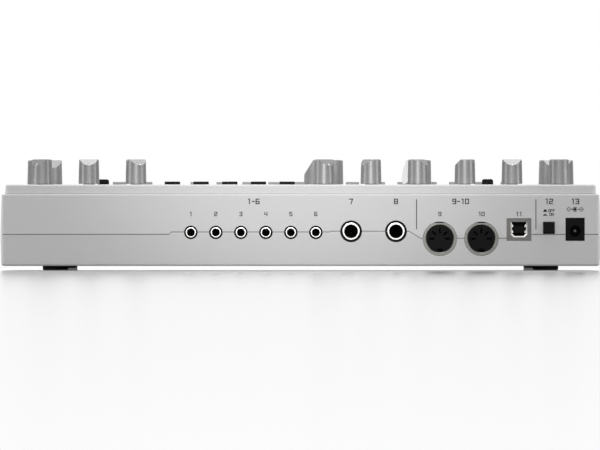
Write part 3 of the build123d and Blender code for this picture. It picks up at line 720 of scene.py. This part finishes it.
# A leaf spring's bow: shares of its length, and of the hole's radius below the axis
SPRING_BOW = ((0.0, 0.94), (0.3, 0.9), (0.7, 0.52), (0.85, 0.5), (1.0, 0.78))
SPRING_WIDTH = 0.6            # share of the hole's radius


def add_spring(bm, x, z, radius, back_y, front_y):
    """A leaf spring that lies on the floor of a round hole and bows up towards its axis."""
    span = front_y - back_y
    path = smooth_path([(back_y + span * along, -radius * down) for along, down in SPRING_BOW])
    add_ribbon(bm, path, thickness=0.2 * MM, width=radius * SPRING_WIDTH, matrix=upright(x, z))


# Millimetres: the hole's radius, how far back the spring starts, and the rims' radii
MINI_JACK = {"hole": 2.4, "depth": 12.0, "rims": ((1.8, 2.07), (2.62, 2.85))}
PHONE_JACK = {"hole": 3.9, "depth": 28.0, "rims": ((3.3, 3.58), (4.44, 4.7))}


def jacks():
    """Middle and sizes of each jack's bushing, from the highest X down."""
    middles = loose_part_middles("jack_bushings")
    return [(middle, MINI_JACK if i < MINI_JACKS else PHONE_JACK)
            for i, middle in enumerate(middles)]


def build_jack_springs(bm):
    """One tip spring behind each jack's bushing."""
    front_setback = 3.5 * MM
    for middle, sizes in jacks():
        add_spring(bm, middle.x, middle.z, sizes["hole"] * MM,
                   middle.y - sizes["depth"] * MM, middle.y - front_setback)


def build_jack_collars(bm):
    """Black rims of moulded nylon inside and outside each bushing's bright end."""
    face_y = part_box("jack_bushings")[1].y
    sunk = 0.02 * MM
    for middle, sizes in jacks():
        place = frame_at((middle.x, face_y - sunk, middle.z), (-1, 0, 0), (0, 0, 1))
        for inner, outer in sizes["rims"]:
            add_ring(bm, (0.0, 0.0), inner * MM, outer * MM, place, thickness=0.06 * MM)


def build_dc_spring(bm):
    """The outer contact on the floor of the supply inlet's hole."""
    hole_radius = 2.85 * MM
    back_setback = 9.3 * MM
    front_setback = 1.8 * MM
    pin = centre("dc_jack_pin")
    face_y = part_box("dc_jack_housing")[1].y
    add_spring(bm, pin.x, pin.z, hole_radius, face_y - back_setback, face_y - front_setback)


USB_CONTACT_SIDE = 1.25 * MM  # tongue's middle to each contact
# A contact's bow: mm behind the tongue's end, and mm off its face
USB_CONTACT_BOW = ((3.0, 0.08), (1.6, 0.35), (0.4, 0.08))


def build_usb_contacts(bm):
    """Two contacts on the tongue's upper face and two on its lower face."""
    low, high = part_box("usb_tongue")
    middle_x = (low.x + high.x) / 2
    for side, face_z in ((-1, low.z), (1, high.z)):
        path = smooth_path([(low.y + 0.2 * MM, face_z + side * 0.08 * MM)] + [
            (high.y - back * MM, face_z + side * rise * MM) for back, rise in USB_CONTACT_BOW
        ])
        for offset in (-USB_CONTACT_SIDE, USB_CONTACT_SIDE):
            place = upright(middle_x + offset, 0)
            add_ribbon(bm, path, thickness=0.16 * MM, width=1.0 * MM, matrix=place)


MOUTH_HALF_WIDTH = 4.2 * MM
MOUTH_HALF_HEIGHT = 3.9 * MM
MOUTH_CHAMFER = 1.5 * MM
CHAMFER_SHRINK = 0.59         # what a 45 degree cut loses as its outline moves in by 1


def mouth_ring(inset, y):
    """The square socket's mouth, from one upper corner round by the floor to the other."""
    middle = centre("usb_shell")
    half = MOUTH_HALF_WIDTH - inset
    rise = MOUTH_HALF_HEIGHT - inset
    cut = MOUTH_CHAMFER - inset * CHAMFER_SHRINK
    path = ((-half, rise), (-half, cut - rise), (cut - half, -rise), (half - cut, -rise),
            (half, cut - rise), (half, rise))
    return [Vector((middle.x + px, y, middle.z + pz)) for px, pz in path]


def build_usb_liner(bm):
    """A black moulded liner: thin walls just inside the shell, and a back behind the tongue."""
    outer = 0.03 * MM
    inner = 0.15 * MM
    front_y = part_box("usb_shell")[1].y - 0.8 * MM
    back_y = front_y - 7.6 * MM
    skin(bm, [mouth_ring(outer, back_y), mouth_ring(outer, front_y), mouth_ring(inner, front_y),
              mouth_ring(inner, back_y + inner - outer)])


def build_usb_lip(bm):
    """The flared edge round the mouth's sides and floor, which catches the light."""
    axis = centre("usb_shell")
    axis.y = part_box("usb_shell")[1].y
    flare = 0.55 * MM
    inward_share = 1.3
    back = Vector((0, -flare * 0.5, 0))
    rows = []
    for corner in mouth_ring(0.0, axis.y):
        inward = (axis - corner).normalized() * flare * inward_share
        rows.append([corner, corner + back, corner + inward + back])
    skin(bm, rows)


# A tab's bow: mm behind the shell's face, and mm off the mouth's middle
USB_TAB_BOW = ((0.1, 4.1), (0.9, 3.0), (3.0, 3.5), (5.0, 4.1))
USB_TAB_RISES = (-1.1 * MM, 1.9 * MM)


def build_usb_springs(bm):
    """Two spring tabs in each side of the square socket's mouth."""
    face_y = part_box("usb_shell")[1].y
    middle = centre("usb_shell")
    path = smooth_path([(face_y - back * MM, out * MM) for back, out in USB_TAB_BOW])
    for side in (-1, 1):
        for rise in USB_TAB_RISES:
            place = frame_at((middle.x, 0, middle.z + rise), (0, 1, 0), (side, 0, 0))
            add_ribbon(bm, path, thickness=0.25 * MM, width=1.3 * MM, matrix=place)


class DRUM_OT_rear_print(Operator):
    """Print plain numbers, dividers and symbols on the rear panel"""
    bl_idname = "drum_machine.rear_print"
    bl_label = "Print the rear panel"

    heading_z: size_property("Heading height", "Floor to the headings", 34.9)
    heading_size: size_property("Heading size", "Height of a heading's figures", 2.3)
    label_z: size_property("Label height", "Floor to the small labels", 28.5)
    label_size: size_property("Label size", "Height of a small label's figures", 1.8)
    symbol_z: size_property("Symbol height", "Floor to the supply symbol", 30.9)
    divider_low: size_property("Divider foot", "Floor to the dividers' lower ends", 20.8)
    divider_high: size_property("Divider head", "Floor to the dividers' upper ends", 36.0)
    divider_width: size_property("Divider width", "Width of the dividers", 0.38)

    def execute(self, context):
        printing = context.scene.drum_print
        sheet = (rear_plane(), printing.ink_thickness)
        jack_xs = [middle.x for middle in loose_part_middles("jack_bushings")]
        round_xs = [middle.x for middle in loose_part_middles("din_shields")]
        usb_x = centre("usb_shell").x
        power_x = centre("power_button").x
        dc_x = centre("dc_jack_pin").x
        minis = jack_xs[:MINI_JACKS]
        headings = [("1-6", (minis[0] + minis[-1]) / 2), ("7", jack_xs[MINI_JACKS]),
                    ("8", jack_xs[-1]), ("9-10", sum(round_xs) / 2), ("12", power_x), ("13", dc_x)]
        labels = [(str(i + 1), x) for i, x in enumerate(minis)]
        labels += [("9", round_xs[0]), ("10", round_xs[1]), ("11", usb_x)]
        dividers = ((jack_xs[-1] + round_xs[0]) / 2 + 0.7 * MM, (usb_x + power_x) / 2 - 1.0 * MM)

        def build(bm):
            for texts, height, size in ((headings, self.heading_z, self.heading_size),
                                        (labels, self.label_z, self.label_size)):
                for text, x in texts:
                    add_lettering(bm, text, (-x, on_panel(height)), size, *sheet)
            for x in dividers:
                half = self.divider_width / 2
                add_panel(bm, -x - half, -x + half, on_panel(self.divider_low),
                          on_panel(self.divider_high), *sheet)
            add_power_marks(bm, -power_x, *sheet)
            add_polarity(bm, -dc_x, on_panel(self.symbol_z), *sheet)
        ink = screen_ink("screen_ink_dark", printing.ink)
        add_piece("rear_print", build, ink, "root")
        return {"FINISHED"}


def on_panel(height):
    """Distance up the rear panel's plane for a height over the floor."""
    return (height - PARTING_Z) / math.cos(DRAFT)


# Each word beside the power button, its height over the floor, and its button's rise, in mm
POWER_WORDS = (("OFF", 30.2, 0.9), ("ON", 28.3, 0.4))


def add_power_marks(bm, x, *sheet):
    """OFF beside a raised button's outline and ON beside a pressed one."""
    size = 1.25 * MM
    left = x - 3.0 * MM
    panel_width = 2.2 * MM
    panel_height = 0.32 * MM
    button_inset = 0.45 * MM
    word_offset = 1.35 * MM
    for word, height, rise in POWER_WORDS:
        middle = on_panel(height * MM)
        foot = middle - size / 2
        top = foot + panel_height
        add_panel(bm, left, left + panel_width, foot, top, *sheet)
        add_panel(bm, left + button_inset, left + panel_width - button_inset, top,
                  top + rise * MM, *sheet)
        add_lettering(bm, word, (x + word_offset, middle), size, *sheet)


def add_polarity(bm, x, y, *sheet):
    """The supply's poles: minus outside, plus on the pin, joined by a short line."""
    pitch = 3.2 * MM
    line = 0.3 * MM
    pole_radius = 1.0 * MM
    pin_radius = 0.7 * MM
    sleeve_radius = 0.95 * MM
    sign_height = 1.1 * MM
    for side, sign in ((-1, "-"), (1, "+")):
        middle = (x + side * pitch, y)
        add_ring(bm, middle, pole_radius, pole_radius + line, *sheet, steps=4)
        add_lettering(bm, sign, middle, sign_height, *sheet)
        add_bar(bm, (x + side * pole_radius, y), (x + side * (pitch - pole_radius - line), y),
                line, *sheet)
    add_disc(bm, (x, y), pin_radius, *sheet)
    add_ring(bm, (x, y), sleeve_radius, sleeve_radius + line, *sheet, start=40, end=320)


# First and last degree of a scale, how many ticks it has, and how long they are
LEVEL_SCALE = (-150, 150, 11, 1.1 * MM)
END_SCALE = (-150, 150, 11, 1.5 * MM)
MODE_SCALE = (-60, 60, 5, 1.6 * MM)
VOICE_SCALE = (-90, 90, 7, 1.6 * MM)
SCALE_GAP = 1.6 * MM          # a knob's side to its ticks
FIGURE_GAP = 2.2 * MM         # a selector's ticks to its figures
KEY_GAP = 2.6 * MM            # a key's front edge to its figure
CAP_GAP = 2.8 * MM            # a slide cap's front edge to its two figures
CAP_PITCH = 3.4 * MM          # between those two figures
CAP_FIGURE = 1.8 * MM         # their height


class DRUM_OT_deck_print(Operator):
    """Print scales and plain numbers on the deck"""
    bl_idname = "drum_machine.deck_print"
    bl_label = "Print the deck"

    line_width: size_property("Line width", "Width of a scale's lines", 0.4)
    figure_size: size_property("Figure size", "Height of the deck's figures", 2.2)

    def execute(self, context):
        printing = context.scene.drum_print
        sheet = (Matrix.Translation((0, 0, DECK_Z)), printing.ink_thickness)
        size = self.figure_size

        def scale(bm, node, first, last, count, length, numbered=False):
            low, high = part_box(node)
            inner = (high.x - low.x) / 2 + SCALE_GAP
            outer = inner + length
            axis = joint_axis(node)
            for i in range(count):
                way = rearwards(last - (last - first) * i / (count - 1))
                add_bar(bm, axis + way * inner, axis + way * outer, self.line_width, *sheet)
                if numbered:
                    place = axis + way * (outer + FIGURE_GAP)
                    add_lettering(bm, str(i + 1), place, size, *sheet)

        def build(bm):
            for node in LEVEL_KNOBS:
                scale(bm, node, *LEVEL_SCALE)
            for node in END_KNOBS:
                scale(bm, node, *END_SCALE)
            scale(bm, "mode_knob", *MODE_SCALE, numbered=True)
            scale(bm, "voice_knob", *VOICE_SCALE, numbered=True)
            for keys in (STEP_KEYS, FUNCTION_KEYS):
                for i, node in enumerate(keys):
                    place = (centre(node).x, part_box(node)[0].y - KEY_GAP)
                    add_lettering(bm, str(i + 1), place, size, *sheet)
            for node, way in zip(SLIDE_CAPS, (1, -1)):
                for i in range(2):
                    place = (centre(node).x + way * i * CAP_PITCH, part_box(node)[0].y - CAP_GAP)
                    add_lettering(bm, str(i + 1), place, CAP_FIGURE, *sheet)
        ink = screen_ink("screen_ink_deck", printing.ink)
        add_piece("deck_print", build, ink, "root")
        return {"FINISHED"}


class DRUM_OT_marks(Operator):
    """Fill the recess in each knob's facet with white paint"""
    bl_idname = "drum_machine.marks"
    bl_label = "Mark the knobs"

    radius: size_property("Mark radius", "Radius of the paint in the recess", 0.5)
    fill: size_property("Mark fill", "Depth of the paint in the recess", 0.2)

    def execute(self, context):
        paint = mark_paint(context.scene.drum_print.mark)
        for node in KNOBS:
            middle, normal = facet_recess(node)
            across = Vector((0, 0, 1)).cross(normal)
            place = frame_at(middle, across, normal.cross(across))

            def build(bm):
                add_disc(bm, (0.0, 0.0), self.radius, place, self.fill, steps=24)
            add_piece(f"{node}_mark", build, paint, node)
        return {"FINISHED"}


class DRUM_OT_label(Operator):
    """Stick the blank label into its recess under the case"""
    bl_idname = "drum_machine.label"
    bl_label = "Add the blank label"

    film: size_property("Film", "Thickness of the label", 0.15)
    margin: size_property("Margin", "Gap between the label and its recess", 0.4)
    corner: size_property("Corner", "Radius of the label's corners", 1.5)

    def execute(self, context):
        low, high = recess_bounds()
        inset = self.margin + self.corner
        corner_steps = 6
        outline = []
        left = low.x + inset
        right = high.x - inset
        front = low.y + inset
        rear = high.y - inset
        for turn, middle in enumerate(((right, rear), (left, rear), (left, front), (right, front))):
            for step in range(corner_steps + 1):
                outline.append(around(middle, self.corner, 90 * (turn + step / corner_steps)))

        def build(bm):
            add_prism(bm, outline, Matrix.Translation((0, 0, low.z - self.film)), self.film)
        add_piece("blank_label", build, label_film(context.scene.drum_case.label), "root")
        return {"FINISHED"}


RECESS_DEPTHS = (0.1 * MM, 0.6 * MM)     # the recess's ceiling lies this far up the underside
RECESS_REACH = Vector((40, 20)) * MM     # and its faces this near the middle


def recess_bounds():
    """Corners of the label recess's ceiling in the underside."""
    mesh = frame["nodes"]["bottom_case"].data
    least, most = RECESS_DEPTHS
    faces = [
        face for face in mesh.polygons
        if face.normal.z < -0.99 and least < face.center.z - BASE_Z < most
        and abs(face.center.x) < RECESS_REACH.x and abs(face.center.y) < RECESS_REACH.y
    ]
    if not faces:
        raise RuntimeError("the underside has no label recess")
    return corners_of([mesh.vertices[i].co for face in faces for i in face.vertices])


class DRUM_OT_stage(Operator):
    """Set a pale floor, soft studio light and the camera"""
    bl_idname = "drum_machine.stage"
    bl_label = "Set the stage"

    def execute(self, context):
        stage = context.scene.drum_stage
        context.scene.view_settings.view_transform = "Standard"
        add_floor(stage.floor, stage.bounce)
        add_world(stage.backdrop)
        add_lamps()
        add_camera(stage)
        return {"FINISHED"}


def add_camera(stage):
    """A long lens straight behind the machine, level with the floor."""
    data = bpy.data.cameras.new("camera")
    data.lens = stage.lens
    data.sensor_width = 36.0
    data.shift_x = stage.shift_x
    data.shift_y = stage.shift_y
    data.clip_start = 0.05
    data.clip_end = 100.0
    camera = new_object("camera", data)
    camera.location = (0.0, REAR_Y + stage.camera_distance, stage.camera_height)
    camera.rotation_euler = (math.pi / 2, 0.0, math.pi)
    bpy.context.scene.camera = camera


def math_node(tree, operation, *values):
    """The result of a sum on sockets or numbers."""
    return add_node(tree, "Math", dict(enumerate(values)), operation=operation).outputs[0]


def outside_footprint(tree, reach):
    """0 on the floor under the case, rising to 1 at reach metres outside its footprint."""
    parts = add_node(tree, "SeparateXYZ", {"Vector": object_position(tree)})
    gaps = [
        math_node(tree, "SUBTRACT", math_node(tree, "ABSOLUTE", parts.outputs[axis]), half)
        for axis, half in (("X", CASE_HIGH.x), ("Y", REAR_Y))
    ]
    far = math_node(tree, "MAXIMUM", *gaps)
    return map_range(tree, far, **{"From Max": reach})


POLISH_REACH = 40 * MM        # the case's footprint to where the floor is satin
POLISHED = 0.04               # roughness under the case
SATIN = 0.245                 # roughness farther out
GLOW = 1.2                    # strength that keeps the lit floor white
GLOW_SHARE = 0.72             # share of the glow, the rest being matt and shadowed
MIRROR_SHARE = 0.92           # share of the Fresnel reflection that is kept


def mix_shaders(tree, factor, first, second):
    """The shader between two others."""
    return add_node(tree, "MixShader", {0: factor, 1: first, 2: second}).outputs[0]


def add_floor(colour, bounce):
    """A wide floor, white to the eye, which keeps the machine's shadow and reflection.

    It is polished where the machine stands, so that the gap under the case stays bright, and
    satin farther out, so that the reflection fades. Other surfaces see a dimmer floor.
    """
    material = bpy.data.materials.new("floor_acrylic")
    tree = bare_tree(material)
    path = add_node(tree, "LightPath")
    matt = add_node(tree, "BsdfDiffuse", {"Color": colour})
    glow = add_node(tree, "Emission", {"Color": WHITE, "Strength": GLOW})
    lit = mix_shaders(tree, GLOW_SHARE, matt.outputs[0], glow.outputs[0])
    polish = map_range(tree, outside_footprint(tree, POLISH_REACH),
                       **{"To Min": POLISHED, "To Max": SATIN})
    sheen = add_node(tree, "BsdfAnisotropic", {"Color": WHITE, "Roughness": polish},
                     distribution="BECKMANN")
    fresnel = add_node(tree, "Fresnel", {"IOR": 1.5})
    share = math_node(tree, "MULTIPLY", fresnel.outputs[0], MIRROR_SHARE)
    satin = mix_shaders(tree, share, lit, sheen.outputs[0])
    dim = add_node(tree, "BsdfDiffuse", {"Color": bounce})
    seen = mix_shaders(tree, path.outputs["Is Camera Ray"], dim.outputs[0], satin)
    add_node(tree, "OutputMaterial", {"Surface": seen})
    mesh = bpy.data.meshes.new("floor")
    far = 12.0
    corners = [(-far, -far, 0), (far, -far, 0), (far, far, 0), (-far, far, 0)]
    mesh.from_pydata(corners, [], [(0, 1, 2, 3)])
    mesh.materials.append(material)
    new_object("floor", mesh)


def add_world(colour):
    """A plain world: white where it is seen, and a dim fill on matt surfaces."""
    fill_strength = 0.12
    world = bpy.data.worlds.new("studio")
    bpy.context.scene.world = world
    tree = bare_tree(world)
    path = add_node(tree, "LightPath")
    seen = path.outputs["Is Camera Ray"]
    for kind in ("Is Glossy Ray", "Is Transmission Ray"):
        seen = math_node(tree, "MAXIMUM", seen, path.outputs[kind])
    fill = add_node(tree, "Background", {"Color": WHITE, "Strength": fill_strength})
    back = add_node(tree, "Background", {"Color": colour, "Strength": 1.0})
    surface = mix_shaders(tree, seen, fill.outputs[0], back.outputs[0])
    add_node(tree, "OutputWorld", {"Surface": surface})


def place_lamp(name, data, place, target):
    """Put a lamp at a place, facing a point."""
    lamp = new_object(name, data)
    lamp.location = place
    facing = Vector(target) - Vector(place)
    lamp.rotation_euler = facing.to_track_quat("-Z", "Y").to_euler()


def add_softbox(name, place, target, width, height, watts):
    """A rectangular softbox that faces a point."""
    data = bpy.data.lights.new(name, "AREA")
    data.shape = "RECTANGLE"
    data.size = width
    data.size_y = height
    data.energy = watts
    place_lamp(name, data, place, target)


def add_pool(name, place, target, cone, watts):
    """A soft-edged spot lamp, for a pool of light on one place."""
    data = bpy.data.lights.new(name, "SPOT")
    data.spot_size = math.radians(cone)
    data.spot_blend = 1.0
    data.shadow_soft_size = 0.03
    data.energy = watts
    place_lamp(name, data, place, target)


def add_lamps():
    """Softboxes on the rear panel, the deck and the knobs' facets, and a lamp for each edge.

    The pool brightens the middle of the rear panel, the strips shade it towards its ends, and
    the spots draw its upright corners.
    """
    panel = Vector((0.0, REAR_Y, 0.03))
    mode = Vector((*joint_axis("mode_knob"), KNOB_TOP_Z))
    add_softbox("front_softbox", (0.0, REAR_Y + 2.2, 0.55), panel, width=2.6, height=1.4,
                watts=19.0)
    add_softbox("top_softbox", (0.0, REAR_Y, 1.1), (0.0, REAR_Y - 0.03, 0.04), width=0.9,
                height=0.6, watts=9.6)
    add_softbox("deck_kicker", mode + Vector((1.08, -0.855, 0.585)), mode, width=0.3,
                height=0.3, watts=3.6)
    add_pool("pool_spot", (0.005, REAR_Y + 1.16, 0.28), (0.0, REAR_Y, 0.1), cone=14.0,
             watts=23.0)
    for side in (-1, 1):
        add_softbox(f"strip_{side}", (side * 0.97, REAR_Y + 0.24, 0.2), panel, width=0.25,
                    height=0.9, watts=4.0)
        corner = Vector((side * CASE_HIGH.x, REAR_Y, 0.017))
        add_pool(f"edge_{side}", corner + Vector((side * 0.45, -0.02, 0)), corner, cone=7.0,
                 watts=4.6)


class DRUM_PT_panel(Panel):
    bl_idname = "DRUM_PT_panel"
    bl_label = "Drum Machine"
    bl_space_type = "VIEW_3D"
    bl_region_type = "UI"
    bl_category = "Drum Machine"

    def draw(self, context):
        for operator in OPERATORS:
            self.layout.operator(operator.bl_idname)


SETTINGS = {
    "drum_case": CaseSettings,
    "drum_controls": ControlSettings,
    "drum_sockets": SocketSettings,
    "drum_print": PrintSettings,
    "drum_stage": StageSettings,
}
OPERATORS = [
    DRUM_OT_stage, DRUM_OT_case, DRUM_OT_controls, DRUM_OT_sockets, DRUM_OT_inside,
    DRUM_OT_socket_metal, DRUM_OT_rear_print, DRUM_OT_deck_print, DRUM_OT_marks, DRUM_OT_label,
]


def register():
    for name, group in SETTINGS.items():
        bpy.utils.register_class(group)
        setattr(Scene, name, PointerProperty(type=group))
    for operator in OPERATORS:
        bpy.utils.register_class(operator)
    bpy.utils.register_class(DRUM_PT_panel)


def unregister():
    bpy.utils.unregister_class(DRUM_PT_panel)
    for operator in reversed(OPERATORS):
        bpy.utils.unregister_class(operator)
    for name, group in reversed(SETTINGS.items()):
        delattr(Scene, name)
        bpy.utils.unregister_class(group)


def main():
    register()
    for operator in OPERATORS:
        family, verb = operator.bl_idname.split(".")
        getattr(getattr(bpy.ops, family), verb)()


if __name__ == "__main__":
    main()
